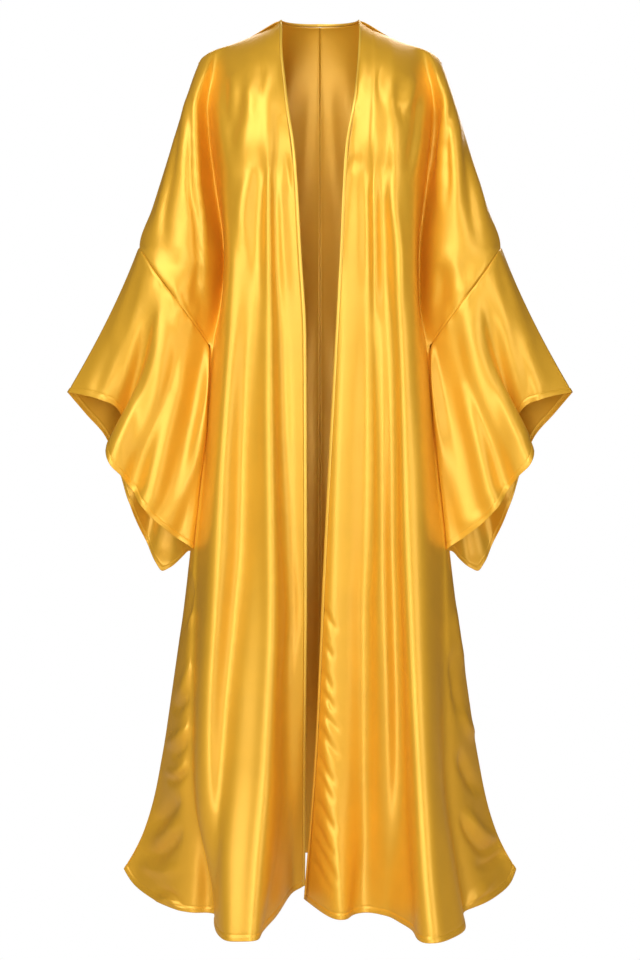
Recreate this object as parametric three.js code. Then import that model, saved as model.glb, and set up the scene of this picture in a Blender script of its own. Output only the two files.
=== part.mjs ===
// Open satin kimono robe, worn shape with nobody in it. Millimetres, +Z up, the front faces -Y.
// The origin is midway between the two neck points, where the shoulders carry the robe.
// "drop" is the distance below the neck points, "x" is measured outward from the middle of the
// robe on either side, and "depth" is measured forward on the fronts and backward on the backs.
import * as THREE from 'three';

// Driving dimensions
const WALL = 2.0;
const SEAM_GAP = 0.3;
const SLEEVE_GAP = 0.4;
const BAND_WIDTH = 5.0;
const BAND_PROUD = 0.3;
const NECK_HALF_WIDTH = 60;
const NECK_BACK_DEPTH = 60;
const NECK_BACK_RISE = 3;
const YOKE_DROP = 143;
const SLEEVE_SEAM_TOP = 355;
const ARMPIT_FRONT = 512;
const UNDERARM = 535;
const UNDERARM_FLARE = 0.2;
const INNER_FLARE = -0.03;
const INNER_LIFT = 0.35;
const ARMPIT_BLEND = 30;
const RING_BLEND = 12;
const SLEEVE_END_FLARE = 1.2;
const HEM_FLARE_START = 1150;
const LENGTH = 1400;
const ARM_CREST = 62;
const ARM_CREST_PLACE = 0.42;

// Shoulder seam seen from the front, from the neck point to the shoulder corner
const SHOULDER = [
  { x: 60, drop: 0 },
  { x: 65, drop: 4 },
  { x: 72, drop: 10 },
  { x: 84, drop: 16 },
  { x: 113, drop: 28 },
  { x: 147, drop: 41 },
  { x: 167, drop: 47 },
  { x: 178, drop: 53 },
  { x: 186, drop: 59 },
  { x: 191, drop: 66 },
];

// Outer border of a front or back: sleeve top line, sleeve seam, underarm, side seam
const BORDER = [
  { drop: 66, x: 191, depth: 0 },
  { drop: 94, x: 202, depth: 0 },
  { drop: 143, x: 218, depth: 0 },
  { drop: 218, x: 242, depth: 0 },
  { drop: 294, x: 267, depth: 0 },
  { drop: 355, x: 288, depth: 0 },
  { drop: 361, x: 283, depth: 25 },
  { drop: 370, x: 276, depth: 38 },
  { drop: 384, x: 266, depth: 50 },
  { drop: 412, x: 245, depth: 59 },
  { drop: 440, x: 223, depth: 61 },
  { drop: 470, x: 201, depth: 50 },
  { drop: 495, x: 184, depth: 36 },
  { drop: 512, x: 175, depth: 27 },
  { drop: 535, x: 181, depth: 0 },
  { drop: 600, x: 178, depth: 0 },
  { drop: 700, x: 190, depth: 0 },
  { drop: 824, x: 206, depth: 0 },
  { drop: 921, x: 219, depth: 0 },
  { drop: 1052, x: 238, depth: 0 },
  { drop: 1183, x: 258, depth: 0 },
  { drop: 1268, x: 273, depth: 0 },
  { drop: 1331, x: 290, depth: 0 },
  { drop: 1366, x: 304, depth: 0 },
  { drop: 1400, x: 321, depth: 0 },
];

// Outer line of the whole sleeve below its seam, down to the sleeve tip
const SLEEVE_LINE = [
  { drop: 143, x: 218 },
  { drop: 355, x: 288 },
  { drop: 445, x: 327 },
  { drop: 585, x: 404 },
];

// Free front edges
const EDGE = [
  { drop: 0, left: 60, right: 61, leftDepth: 0, rightDepth: 0 },
  { drop: 17, left: 59, right: 61, leftDepth: 30, rightDepth: 30 },
  { drop: 52, left: 58, right: 59, leftDepth: 64, rightDepth: 64 },
  { drop: 100, left: 53, right: 55, leftDepth: 92, rightDepth: 92 },
  { drop: 150, left: 47, right: 48, leftDepth: 107, rightDepth: 107 },
  { drop: 215, left: 38, right: 38, leftDepth: 113, rightDepth: 113 },
  { drop: 375, left: 28, right: 30, leftDepth: 107, rightDepth: 108 },
  { drop: 500, left: 21, right: 23, leftDepth: 100, rightDepth: 102 },
  { drop: 850, left: 20, right: 5, leftDepth: 86, rightDepth: 95 },
  { drop: 1150, left: 22, right: -8, leftDepth: 66, rightDepth: 84 },
  { drop: 1400, left: 24, right: -26, leftDepth: 28, rightDepth: 58 },
];

// Drop of the lower corner of each free edge
const EDGE_HEM = { left: 1383, right: 1396 };

// Deep fold between arm and body, which runs on to the hem as the fold beside the side panel
const ARM_FOLD = [
  { drop: 143, left: 176, right: 178, depth: 38 },
  { drop: 191, left: 173, right: 176, depth: 33 },
  { drop: 253, left: 166, right: 169, depth: 28 },
  { drop: 377, left: 151, right: 157, depth: 25 },
  { drop: 440, left: 156, right: 157, depth: 25 },
  { drop: 512, left: 168, right: 167, depth: 28 },
  { drop: 565, left: 173, right: 173, depth: 32 },
  { drop: 700, left: 181, right: 181, depth: 44 },
  { drop: 850, left: 194, right: 194, depth: 60 },
  { drop: 1150, left: 198, right: 194, depth: 100 },
  { drop: 1400, left: 163, right: 223, depth: 126 },
];

// Levels at which every fold row gives its place x and its depth
const LEVELS = { chest: 143, waist: 500, hip: 850, knee: 1150, hem: 1400 };

// Folds of the left front, from the edge outward; steps is the number of cells up to it
const FOLDS_FRONT_LEFT = [
  { name: 'inner valley', steps: 3, x: [66, 58, 46, 49, 46], depth: [112, 104, 94, 84, 36], hem: 1392 },
  { name: 'inner ridge', steps: 3, x: [80, 76, 72, 76, 92], depth: [117, 120, 142, 186, 252], hem: 1400 },
  { name: 'mid valley', steps: 3, x: [92, 98, 112, 136, 135], depth: [115, 112, 128, 172, 250], hem: 1402 },
  { name: 'outer ridge', steps: 3, x: [110, 138, 160, 172, 158], depth: [112, 114, 134, 165, 214], hem: 1402 },
  { name: 'flank', steps: 2, x: [145, 155, 178, 190, 174], depth: [86, 86, 106, 140, 168], hem: 1400 },
];

// Folds of the right front
const FOLDS_FRONT_RIGHT = [
  { name: 'edge ridge', steps: 2, x: [58, 36, 22, 12, 30], depth: [109, 106, 106, 116, 160], hem: 1401 },
  { name: 'inner valley', steps: 2, x: [76, 71, 62, 65, 72], depth: [112, 103, 100, 104, 119], hem: 1400 },
  { name: 'inner ridge', steps: 2, x: [84, 84, 89, 99, 92], depth: [116, 111, 115, 122, 121], hem: 1400 },
  { name: 'mid valley', steps: 1, x: [97, 99, 107, 117, 108], depth: [114, 106, 110, 120, 132], hem: 1400 },
  { name: 'outer ridge', steps: 4, x: [112, 124, 134, 147, 163], depth: [114, 118, 142, 190, 262], hem: 1402 },
  { name: 'flank', steps: 3, x: [145, 152, 170, 184, 224], depth: [88, 90, 110, 150, 195], hem: 1400 },
];

// Folds of the backs, from the centre seam outward; the third row starts at the neck point
const FOLDS_BACK_LEFT = [
  { name: 'centre', steps: 0, x: [0, 0, 0, 0, 0], depth: [98, 90, 114, 154, 208], hem: 1398 },
  { name: 'inner ridge', steps: 3, x: [38, 42, 52, 62, 72], depth: [102, 98, 128, 176, 238], hem: 1400 },
  { name: 'mid valley', steps: 3, x: [80, 84, 96, 106, 116], depth: [99, 91, 108, 144, 192], hem: 1400 },
  { name: 'outer ridge', steps: 2, x: [112, 124, 142, 160, 176], depth: [95, 98, 124, 170, 234], hem: 1400 },
  { name: 'flank', steps: 2, x: [146, 152, 174, 190, 212], depth: [72, 74, 92, 126, 166], hem: 1398 },
];
const FOLDS_BACK_RIGHT = [
  { name: 'centre', steps: 0, x: [0, 0, 0, 0, 0], depth: [98, 90, 114, 154, 208], hem: 1398 },
  { name: 'inner ridge', steps: 3, x: [36, 38, 46, 50, 56], depth: [102, 96, 124, 168, 226], hem: 1400 },
  { name: 'mid valley', steps: 3, x: [78, 80, 88, 94, 98], depth: [99, 92, 112, 150, 200], hem: 1400 },
  { name: 'outer ridge', steps: 2, x: [112, 120, 136, 150, 160], depth: [96, 100, 130, 180, 246], hem: 1400 },
  { name: 'flank', steps: 2, x: [146, 152, 172, 190, 208], depth: [74, 76, 94, 130, 172], hem: 1398 },
];

// The side strip between the arm fold and the border: place across, share of the fold's depth
// along the body and at the hem, and the hem's drop, the left front reaching lower at its corner
const SIDE_STRIP = [
  { place: 0, steps: 3, bodyShare: 1, left: 1, right: 1, leftHem: 1402, rightHem: 1398 },
  { place: 0.42, steps: 3, bodyShare: 0.9, left: 0.87, right: 0.74, leftHem: 1398, rightHem: 1391 },
  { place: 0.85, steps: 2, bodyShare: 0.5, left: 0.2, right: 0.2, leftHem: 1388, rightHem: 1385 },
  { place: 1, steps: 2, bodyShare: 0, left: 0, right: 0, leftHem: 1363, rightHem: 1363 },
];

// Sleeve opening: turn 0 is the tip, 1 the underarm line, 2 the tip again; y is the real depth
const SLEEVE_OPENING = [
  { turn: 0.0, x: 404, drop: 586, y: 0 },
  { turn: 0.12, x: 366, drop: 592, y: -24 },
  { turn: 0.22, x: 345, drop: 598, y: -32 },
  { turn: 0.3, x: 327, drop: 606, y: -26 },
  { turn: 0.37, x: 314, drop: 636, y: -6 },
  { turn: 0.44, x: 336, drop: 674, y: -60 },
  { turn: 0.5, x: 329, drop: 695, y: -80 },
  { turn: 0.57, x: 310, drop: 716, y: -76 },
  { turn: 0.63, x: 296, drop: 738, y: -58 },
  { turn: 0.7, x: 276, drop: 767, y: -68 },
  { turn: 0.77, x: 255, drop: 790, y: -72 },
  { turn: 0.84, x: 230, drop: 813, y: -56 },
  { turn: 0.92, x: 204, drop: 834, y: -50 },
  { turn: 1.0, x: 213, drop: 842, y: 2 },
  { turn: 1.1, x: 226, drop: 856, y: 36 },
  { turn: 1.2, x: 248, drop: 876, y: 52 },
  { turn: 1.27, x: 259, drop: 881, y: 55 },
  { turn: 1.35, x: 270, drop: 868, y: 58 },
  { turn: 1.45, x: 284, drop: 838, y: 68 },
  { turn: 1.55, x: 299, drop: 803, y: 56 },
  { turn: 1.65, x: 313, drop: 764, y: 46 },
  { turn: 1.74, x: 330, drop: 712, y: 58 },
  { turn: 1.82, x: 348, drop: 661, y: 44 },
  { turn: 1.91, x: 378, drop: 622, y: 26 },
  { turn: 2.0, x: 404, drop: 586, y: 0 },
];

// Grid rows down the garment
const YOKE_ROWS = [0, 0.03, 0.09, 0.18, 0.32, 0.5, 0.75];
const CHEST_ROWS = [143, 185, 228, 270, 313];
const SEAM_ROWS = [355, 361, 370, 384, 402, 420, 438, 456, 472, 487, 500, 512, 535];
const SKIRT_ROWS = [595, 665, 740, 820, 900, 985, 1070, 1150, 1225, 1295, 1355, 1400];
const ROWS = [...YOKE_ROWS.map((share) => share * YOKE_DROP), ...CHEST_ROWS, ...SEAM_ROWS, ...SKIRT_ROWS];
const SLEEVE_ROWS = 9;
const NECK_CELLS = 6;

// Smooth curve through rows that never swings past them (monotone cubic)
function smoothCurve(places, values) {
  const last = places.length - 1;
  const slopes = [];
  for (let i = 0; i < last; i += 1) {
    slopes.push((values[i + 1] - values[i]) / (places[i + 1] - places[i]));
  }
  const tangents = places.map((_, i) => {
    if (i === 0) return slopes[0];
    if (i === last) return slopes[last - 1];
    if (slopes[i - 1] * slopes[i] <= 0) return 0;
    const before = places[i] - places[i - 1];
    const after = places[i + 1] - places[i];
    const weight = 2 * after + before;
    const other = after + 2 * before;
    return (weight + other) / (weight / slopes[i - 1] + other / slopes[i]);
  });
  return (place) => {
    const at = Math.min(Math.max(place, places[0]), places[last]);
    let i = 0;
    while (i < last - 1 && at > places[i + 1]) i += 1;
    const span = places[i + 1] - places[i];
    const u = (at - places[i]) / span;
    const rest = 1 - u;
    return values[i] * (1 + 2 * u) * rest * rest + tangents[i] * span * u * rest * rest
      + values[i + 1] * u * u * (3 - 2 * u) - tangents[i + 1] * span * u * u * rest;
  };
}

const column = (rows, place, value) => (
  smoothCurve(rows.map((row) => row[place]), rows.map((row) => row[value]))
);
const mix = (from, to, share) => from + (to - from) * share;

const shoulderDrop = column(SHOULDER, 'x', 'drop');
const borderX = column(BORDER, 'drop', 'x');
const borderDepth = column(BORDER, 'drop', 'depth');
const sleeveLineX = column(SLEEVE_LINE, 'drop', 'x');
const armFoldDepth = column(ARM_FOLD, 'drop', 'depth');
const levelPlaces = Object.values(LEVELS);
const shoulderEnd = SHOULDER[SHOULDER.length - 1];

// How far the cloth has come forward on its way over the shoulder, from 0 at the seam to 1
function shoulderRound(share) {
  return (1 - (1 - share) ** 1.7) ** 0.75;
}

function smoothStep(from, to, value) {
  const share = Math.min(Math.max((value - from) / (to - from), 0), 1);
  return share * share * (3 - 2 * share);
}

// Depth of the cloth over the arm at the given drop, from the arm fold out to the sleeve line
function armDepth(x, drop, foldX) {
  const foldDepth = armFoldDepth(drop);
  const share = Math.min(Math.max((x - foldX) / (sleeveLineX(drop) - foldX), 0), 1);
  if (share < ARM_CREST_PLACE) {
    return mix(foldDepth, ARM_CREST, Math.sin((Math.PI / 2) * (share / ARM_CREST_PLACE)) ** 2);
  }
  const out = (share - ARM_CREST_PLACE) / (1 - ARM_CREST_PLACE);
  return ARM_CREST * Math.sqrt(1 - out * out);
}

// One control line of a panel: its point [x, depth, drop] at a grid row
function foldLine(row, topX, topDepth, topDrop) {
  const x = smoothCurve(levelPlaces, row.x);
  const depth = smoothCurve(levelPlaces, row.depth);
  return (drop) => {
    if (drop >= YOKE_DROP) return [x(drop), depth(drop), hemDrop(drop, row.hem)];
    const share = drop / YOKE_DROP;
    const forward = mix(topDepth, row.depth[0], shoulderRound(share));
    return [mix(topX, row.x[0], share), forward, mix(topDrop, YOKE_DROP, share)];
  };
}

// Rows near the hem spread so that the last one follows the hem line
function hemDrop(drop, hem) {
  if (drop <= HEM_FLARE_START) return drop;
  return mix(HEM_FLARE_START, hem, (drop - HEM_FLARE_START) / (LENGTH - HEM_FLARE_START));
}

// Control lines from the arm fold to the border
function sideLines(side) {
  const foldX = column(ARM_FOLD, 'drop', side);
  const edgeX = EDGE.find((row) => row.drop > YOKE_DROP)[side];
  const spread = (shoulderEnd.x - NECK_HALF_WIDTH) / (borderX(YOKE_DROP) - edgeX);
  const topPlace = (x) => NECK_HALF_WIDTH + (x - edgeX) * spread;
  const lines = SIDE_STRIP.map((row) => {
    const below = (drop) => {
      const x = mix(foldX(drop), borderX(drop), row.place);
      if (row.place === 1) return [x, Math.max(borderDepth(drop), SEAM_GAP / 2)];
      const share = mix(row.bodyShare, row[side], smoothStep(UNDERARM, LENGTH, drop));
      const bodyDepth = mix(borderDepth(drop), armFoldDepth(drop), share);
      const toBody = smoothStep(ARMPIT_FRONT - ARMPIT_BLEND, UNDERARM, drop);
      return [x, mix(armDepth(x, drop, foldX(drop)), bodyDepth, toBody)];
    };
    const chest = below(YOKE_DROP);
    return {
      steps: row.steps,
      at: (drop) => {
        if (drop >= YOKE_DROP) return [...below(drop), hemDrop(drop, row[`${side}Hem`])];
        const share = drop / YOKE_DROP;
        const topX = topPlace(chest[0]);
        const ownDrop = mix(shoulderDrop(topX), YOKE_DROP, share);
        if (row.place === 1) return [borderX(ownDrop), SEAM_GAP / 2, ownDrop];
        const depth = Math.max(chest[1] * shoulderRound(share), SEAM_GAP / 2);
        return [mix(topX, chest[0], share), depth, ownDrop];
      },
    };
  });
  return { lines, topPlace };
}

// Control lines of a front, starting at its free edge
function frontLines(side, folds) {
  const { lines, topPlace } = sideLines(side);
  const x = column(EDGE, 'drop', side);
  const depth = column(EDGE, 'drop', `${side}Depth`);
  const edge = (drop) => [x(drop), Math.max(depth(drop), SEAM_GAP / 2), hemDrop(drop, EDGE_HEM[side])];
  const foldRows = folds.map((row) => {
    const top = topPlace(row.x[0]);
    return { steps: row.steps, at: foldLine(row, top, SEAM_GAP / 2, shoulderDrop(top)) };
  });
  const inset = (drop) => {
    const from = edge(drop);
    const to = foldRows[0].at(drop);
    const length = Math.hypot(to[0] - from[0], to[1] - from[1], to[2] - from[2]);
    return from.map((value, i) => mix(value, to[i], (BAND_WIDTH + SEAM_GAP) / length));
  };
  return { edge, lines: [{ steps: 0, at: inset }, ...foldRows, ...lines] };
}

// Neck line of the back: turn 0 at the centre seam, 1 at the neck point; side is 1 or -1
function neckStation(turn, side) {
  const angle = (turn * Math.PI) / 2;
  const depth = Math.max(NECK_BACK_DEPTH * Math.cos(angle), SEAM_GAP / 2);
  const across = side * NECK_HALF_WIDTH * Math.sin(angle);
  const point = new THREE.Vector3(across, depth, mix(NECK_BACK_RISE, 0, turn));
  const tangent = new THREE.Vector3(side * Math.cos(angle), -Math.sin(angle), 0);
  const normal = new THREE.Vector3(side * 0.4 * turn, Math.cos(angle), mix(0.25, 0.8, turn));
  normal.addScaledVector(tangent, -normal.dot(tangent)).normalize();
  const inward = tangent.clone().cross(normal).normalize();
  if (inward.z > 0) inward.negate();
  return { point, inward, normal };
}

// Top corner of a back beside the neck band, as [x, depth, drop]
function neckTop(turn) {
  const { point, inward } = neckStation(turn, 1);
  point.addScaledVector(inward, BAND_WIDTH + SEAM_GAP);
  return [Math.max(point.x, SEAM_GAP / 2), Math.max(point.y, SEAM_GAP / 2), -point.z];
}

// Control lines of a back, starting at the centre seam
function backLines(side, folds) {
  const { lines, topPlace } = sideLines(side);
  const tops = [neckTop(0), neckTop(0.5), neckTop(1)];
  const rows = folds.map((row, i) => {
    const place = topPlace(row.x[0]);
    const top = tops[i] ?? [place, SEAM_GAP / 2, shoulderDrop(place)];
    return { steps: row.steps, at: foldLine(row, top[0], Math.max(top[1], SEAM_GAP / 2), top[2]) };
  });
  const centre = rows[0].at;
  rows[0].at = (drop) => [SEAM_GAP / 2, ...centre(drop).slice(1)];
  return [...rows, ...lines];
}

// Continuous panel surface: cells counted outward, drop counted down
function panelSurface(lines, sideSign, faceSign, topAt) {
  const places = [];
  let total = 0;
  lines.forEach((line) => {
    total += line.steps;
    places.push(total);
  });
  const cache = new Map();
  const curvesAt = (drop) => {
    if (!cache.has(drop)) {
      const points = lines.map((line) => line.at(drop));
      cache.set(drop, [0, 1, 2].map((axis) => smoothCurve(places, points.map((point) => point[axis]))));
    }
    return cache.get(drop);
  };
  const at = (cell, drop) => {
    let place = curvesAt(drop).map((curve) => curve(cell));
    if (topAt && drop < YOKE_DROP && cell <= NECK_CELLS) {
      const top = topAt(cell / NECK_CELLS);
      const shift = curvesAt(0).map((curve, axis) => top[axis] - curve(cell));
      place = place.map((value, axis) => value + shift[axis] * (1 - drop / YOKE_DROP) ** 3);
    }
    return new THREE.Vector3(sideSign * place[0], faceSign * place[1], -place[2]);
  };
  return { at, cells: total };
}

// Unit normal that points out of the garment, from nearby points of a surface
function outwardNormal(at, a, b, stepA, stepB, rangeA, rangeB, sign) {
  const clampTo = (value, range) => Math.min(Math.max(value, range[0]), range[1]);
  const alongA = at(clampTo(a + stepA, rangeA), b).sub(at(clampTo(a - stepA, rangeA), b));
  const alongB = at(a, clampTo(b + stepB, rangeB)).sub(at(a, clampTo(b - stepB, rangeB)));
  return alongA.cross(alongB).multiplyScalar(sign).normalize();
}

// Closed wall from a grid of outer points and the same grid moved in; a ring joins its last column
function wallGeometry(outer, inner, isRing) {
  const rows = outer.length;
  const columns = outer[0].length;
  const positions = [];
  [outer, inner].flat(2).forEach((point) => positions.push(...point.toArray()));
  const index = [];
  const id = (layer, row, col) => layer * rows * columns + row * columns + (col % columns);
  const quad = (a, b, c, d) => index.push(a, b, c, a, c, d);
  const spans = isRing ? columns : columns - 1;
  for (let row = 0; row < rows - 1; row += 1) {
    for (let col = 0; col < spans; col += 1) {
      quad(id(0, row, col), id(0, row + 1, col), id(0, row + 1, col + 1), id(0, row, col + 1));
      quad(id(1, row, col), id(1, row, col + 1), id(1, row + 1, col + 1), id(1, row + 1, col));
    }
  }
  for (let col = 0; col < spans; col += 1) {
    const top = [id(0, 0, col), id(0, 0, col + 1), id(1, 0, col + 1), id(1, 0, col)];
    // The back half of a ring splits its rim the same way as the back panel it is sewn to
    if (isRing && col >= columns / 2) top.push(top.shift());
    quad(...top);
    quad(id(0, rows - 1, col), id(1, rows - 1, col), id(1, rows - 1, col + 1), id(0, rows - 1, col + 1));
  }
  if (!isRing) {
    for (let row = 0; row < rows - 1; row += 1) {
      quad(id(0, row, 0), id(1, row, 0), id(1, row + 1, 0), id(0, row + 1, 0));
      const end = columns - 1;
      quad(id(0, row, end), id(0, row + 1, end), id(1, row + 1, end), id(1, row, end));
    }
  }
  return facingOut(positions, index);
}

// Geometry with its faces turned out, whichever way round its grid was walked
function facingOut(positions, index) {
  const point = (i) => new THREE.Vector3(...positions.slice(3 * i, 3 * i + 3));
  let volume = 0;
  for (let i = 0; i < index.length; i += 3) {
    volume += point(index[i]).dot(point(index[i + 1]).cross(point(index[i + 2])));
  }
  if (volume < 0) {
    for (let i = 0; i < index.length; i += 3) [index[i], index[i + 1]] = [index[i + 1], index[i]];
  }
  const geometry = new THREE.BufferGeometry();
  geometry.setAttribute('position', new THREE.Float32BufferAttribute(positions, 3));
  geometry.setIndex(index);
  geometry.computeVertexNormals();
  return geometry;
}

// Offset direction of a panel point; along the shoulder, side and centre seams it keeps to the seam plane
function panelNormal(surface, cell, drop, sideSign, faceSign) {
  const ranges = [[0, surface.cells], [0, LENGTH]];
  const normal = outwardNormal(surface.at, cell, drop, 0.05, 0.5, ...ranges, sideSign * faceSign);
  const onSideSeam = cell === surface.cells && (drop < SLEEVE_SEAM_TOP + 0.1 || drop > UNDERARM - 0.1);
  if (faceSign > 0 && drop === 0 && cell <= NECK_CELLS) {
    return neckStation(cell / NECK_CELLS, sideSign).normal;
  }
  if (onSideSeam || drop === 0) normal.y = 0;
  if (faceSign > 0 && cell === 0) normal.x = 0;
  return normal.normalize();
}

function panelGeometry(surface, sideSign, faceSign) {
  const outer = [];
  const inner = [];
  ROWS.forEach((drop) => {
    const outerRow = [];
    const innerRow = [];
    for (let cell = 0; cell <= surface.cells; cell += 1) {
      const point = surface.at(cell, drop);
      outerRow.push(point);
      const normal = panelNormal(surface, cell, drop, sideSign, faceSign);
      innerRow.push(point.clone().addScaledVector(normal, -WALL));
    }
    outer.push(outerRow);
    inner.push(innerRow);
  });
  return wallGeometry(outer, inner, false);
}

// The way down the arm at a place on the panel, at a fixed share of the width across the arm
function armDown(x, drop, foldX, sideSign, face) {
  const share = (x - foldX(drop)) / (sleeveLineX(drop) - foldX(drop));
  const place = (at) => {
    const across = mix(foldX(at), sleeveLineX(at), share);
    return new THREE.Vector3(sideSign * across, face * armDepth(across, at, foldX(at)), -at);
  };
  return place(drop + 1).sub(place(drop - 1));
}

// Sleeve lines from the seam ring to the opening, turn 0..2 round the tube
function sleeveSurface(front, back, side, sideSign) {
  const foldX = column(ARM_FOLD, 'drop', side);
  const ring = [];
  const onSeam = (surface, drop, face) => ({ point: surface.at(surface.cells, drop), surface, drop, face });
  SEAM_ROWS.forEach((drop) => ring.push(onSeam(front, drop, -1)));
  [...SEAM_ROWS].reverse().slice(1, -1).forEach((drop) => ring.push(onSeam(back, drop, 1)));
  ring[0].point.y = 0;
  ring[SEAM_ROWS.length - 1].point.y = 0;
  const half = SEAM_ROWS.length - 1;
  const lengths = [0];
  for (let i = 1; i <= half; i += 1) {
    lengths.push(lengths[i - 1] + ring[i].point.distanceTo(ring[i - 1].point));
  }
  const turnOf = (i) => (i <= half ? lengths[i] / lengths[half] : 2 - lengths[2 * half - i] / lengths[half]);
  const openingX = column(SLEEVE_OPENING, 'turn', 'x');
  const openingDrop = column(SLEEVE_OPENING, 'turn', 'drop');
  const openingY = column(SLEEVE_OPENING, 'turn', 'y');
  return ring.map(({ point, surface, drop, face }, i) => {
    const turn = turnOf(i);
    const end = new THREE.Vector3(sideSign * openingX(turn), openingY(turn), -openingDrop(turn));
    const chord = end.clone().sub(point);
    const reach = chord.length();
    const normal = panelNormal(surface, surface.cells, drop, sideSign, face);
    const smooth = 1 - smoothStep(ARMPIT_FRONT - RING_BLEND, ARMPIT_FRONT, drop);
    const inner = face < 0 && drop < UNDERARM;
    const flare = sideSign * (inner ? INNER_FLARE : UNDERARM_FLARE);
    const under = new THREE.Vector3(flare, inner ? -INNER_LIFT : 0, -1).setLength(reach);
    const start = armDown(Math.abs(point.x), drop, foldX, sideSign, face).setLength(reach);
    start.lerp(under, 1 - smooth);
    const finish = chord.clone();
    finish.x *= SLEEVE_END_FLARE;
    const next = ring[(i + 1) % ring.length].point;
    const before = ring[(i + ring.length - 1) % ring.length].point;
    const along = next.clone().sub(before).normalize();
    const away = start.clone().addScaledVector(along, -start.dot(along)).setLength(SLEEVE_GAP);
    return { point: point.clone().add(away), end, start, finish, normal, smooth };
  });
}

function sleeveGeometry(front, back, side, sideSign) {
  const lines = sleeveSurface(front, back, side, sideSign);
  const count = lines.length;
  const at = (index, length) => {
    const { point, end, start, finish } = lines[((index % count) + count) % count];
    const u = length;
    const rest = 1 - u;
    const place = point.clone().multiplyScalar((1 + 2 * u) * rest * rest);
    place.addScaledVector(start, u * rest * rest);
    place.addScaledVector(end, u * u * (3 - 2 * u));
    return place.addScaledVector(finish, -u * u * rest);
  };
  const outer = [];
  const inner = [];
  for (let row = 0; row <= SLEEVE_ROWS; row += 1) {
    const outerRow = [];
    const innerRow = [];
    for (let i = 0; i < count; i += 1) {
      const length = row / SLEEVE_ROWS;
      const point = at(i, length);
      const along = at(i, Math.min(length + 0.02, 1)).sub(at(i, Math.max(length - 0.02, 0)));
      const around = at(i + 1, length).sub(at(i - 1, length));
      const normal = around.cross(along).multiplyScalar(sideSign).normalize();
      if (row === 0) normal.lerp(lines[i].normal, lines[i].smooth).normalize();
      outerRow.push(point);
      innerRow.push(point.clone().addScaledVector(normal, -WALL));
    }
    outer.push(outerRow);
    inner.push(innerRow);
  }
  return wallGeometry(outer, inner, true);
}

// Narrow turned band: its section lies across the way in from the edge and the normal
const BAND_SECTION = [
  [0, -0.4],
  [0.8, BAND_PROUD],
  [BAND_WIDTH, BAND_PROUD],
  [BAND_WIDTH, -WALL - BAND_PROUD],
  [0.8, -WALL - BAND_PROUD],
  [0, -1.6],
];

function bandGeometry(stations) {
  const positions = [];
  stations.forEach(({ point, inward, normal }) => {
    BAND_SECTION.forEach(([across, out]) => {
      const corner = point.clone().addScaledVector(inward, across).addScaledVector(normal, out);
      positions.push(...corner.toArray());
    });
  });
  const sides = BAND_SECTION.length;
  const index = [];
  const last = (stations.length - 1) * sides;
  for (let row = 0; row < stations.length - 1; row += 1) {
    for (let i = 0; i < sides; i += 1) {
      const a = row * sides + i;
      const b = row * sides + ((i + 1) % sides);
      index.push(a, b, b + sides, a, b + sides, a + sides);
    }
  }
  for (let i = 1; i < sides - 1; i += 1) {
    index.push(0, i + 1, i);
    index.push(last, last + i, last + i + 1);
  }
  return facingOut(positions, index);
}

// Band along a front edge, set on the edge line and the line that the panel starts at
function frontBandStations(edge, surface, sideSign) {
  return ROWS.map((drop) => {
    const [x, depth, down] = edge(drop);
    const point = new THREE.Vector3(sideSign * x, -depth, -down);
    const inward = surface.at(0, drop).sub(point).normalize();
    const normal = panelNormal(surface, 0, drop, sideSign, -1);
    normal.addScaledVector(inward, -normal.dot(inward)).normalize();
    return { point, inward, normal };
  });
}

// Band round the back of the neck, from one neck point to the other
function neckBandStations() {
  const stations = [];
  for (let i = -NECK_CELLS; i <= NECK_CELLS; i += 1) {
    stations.push(neckStation(Math.abs(i) / NECK_CELLS, Math.sign(i) || 1));
  }
  return stations;
}

const satin = (color) => new THREE.MeshStandardMaterial({ color, roughness: 0.35, metalness: 0.3 });
const robe = new THREE.Group();

function addPiece(name, geometry, color) {
  const mesh = new THREE.Mesh(geometry, satin(color));
  mesh.name = name;
  robe.add(mesh);
}

[
  { side: 'left', sideSign: -1, frontFolds: FOLDS_FRONT_LEFT, backFolds: FOLDS_BACK_LEFT },
  { side: 'right', sideSign: 1, frontFolds: FOLDS_FRONT_RIGHT, backFolds: FOLDS_BACK_RIGHT },
].forEach(({ side, sideSign, frontFolds, backFolds }) => {
  const { edge, lines } = frontLines(side, frontFolds);
  const front = panelSurface(lines, sideSign, -1);
  const back = panelSurface(backLines(side, backFolds), sideSign, 1, neckTop);
  addPiece(`front_${side}`, panelGeometry(front, sideSign, -1), 0xe0ac36);
  addPiece(`back_${side}`, panelGeometry(back, sideSign, 1), 0xd9a233);
  addPiece(`sleeve_${side}`, sleeveGeometry(front, back, side, sideSign), 0xe3b03a);
  addPiece(`front_band_${side}`, bandGeometry(frontBandStations(edge, front, sideSign)), 0xf0c252);
});
addPiece('neck_band', bandGeometry(neckBandStations()), 0xf0c252);

export default robe;
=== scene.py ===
"""Open satin kimono robe in its hollow worn shape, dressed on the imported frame."""
import math

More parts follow.
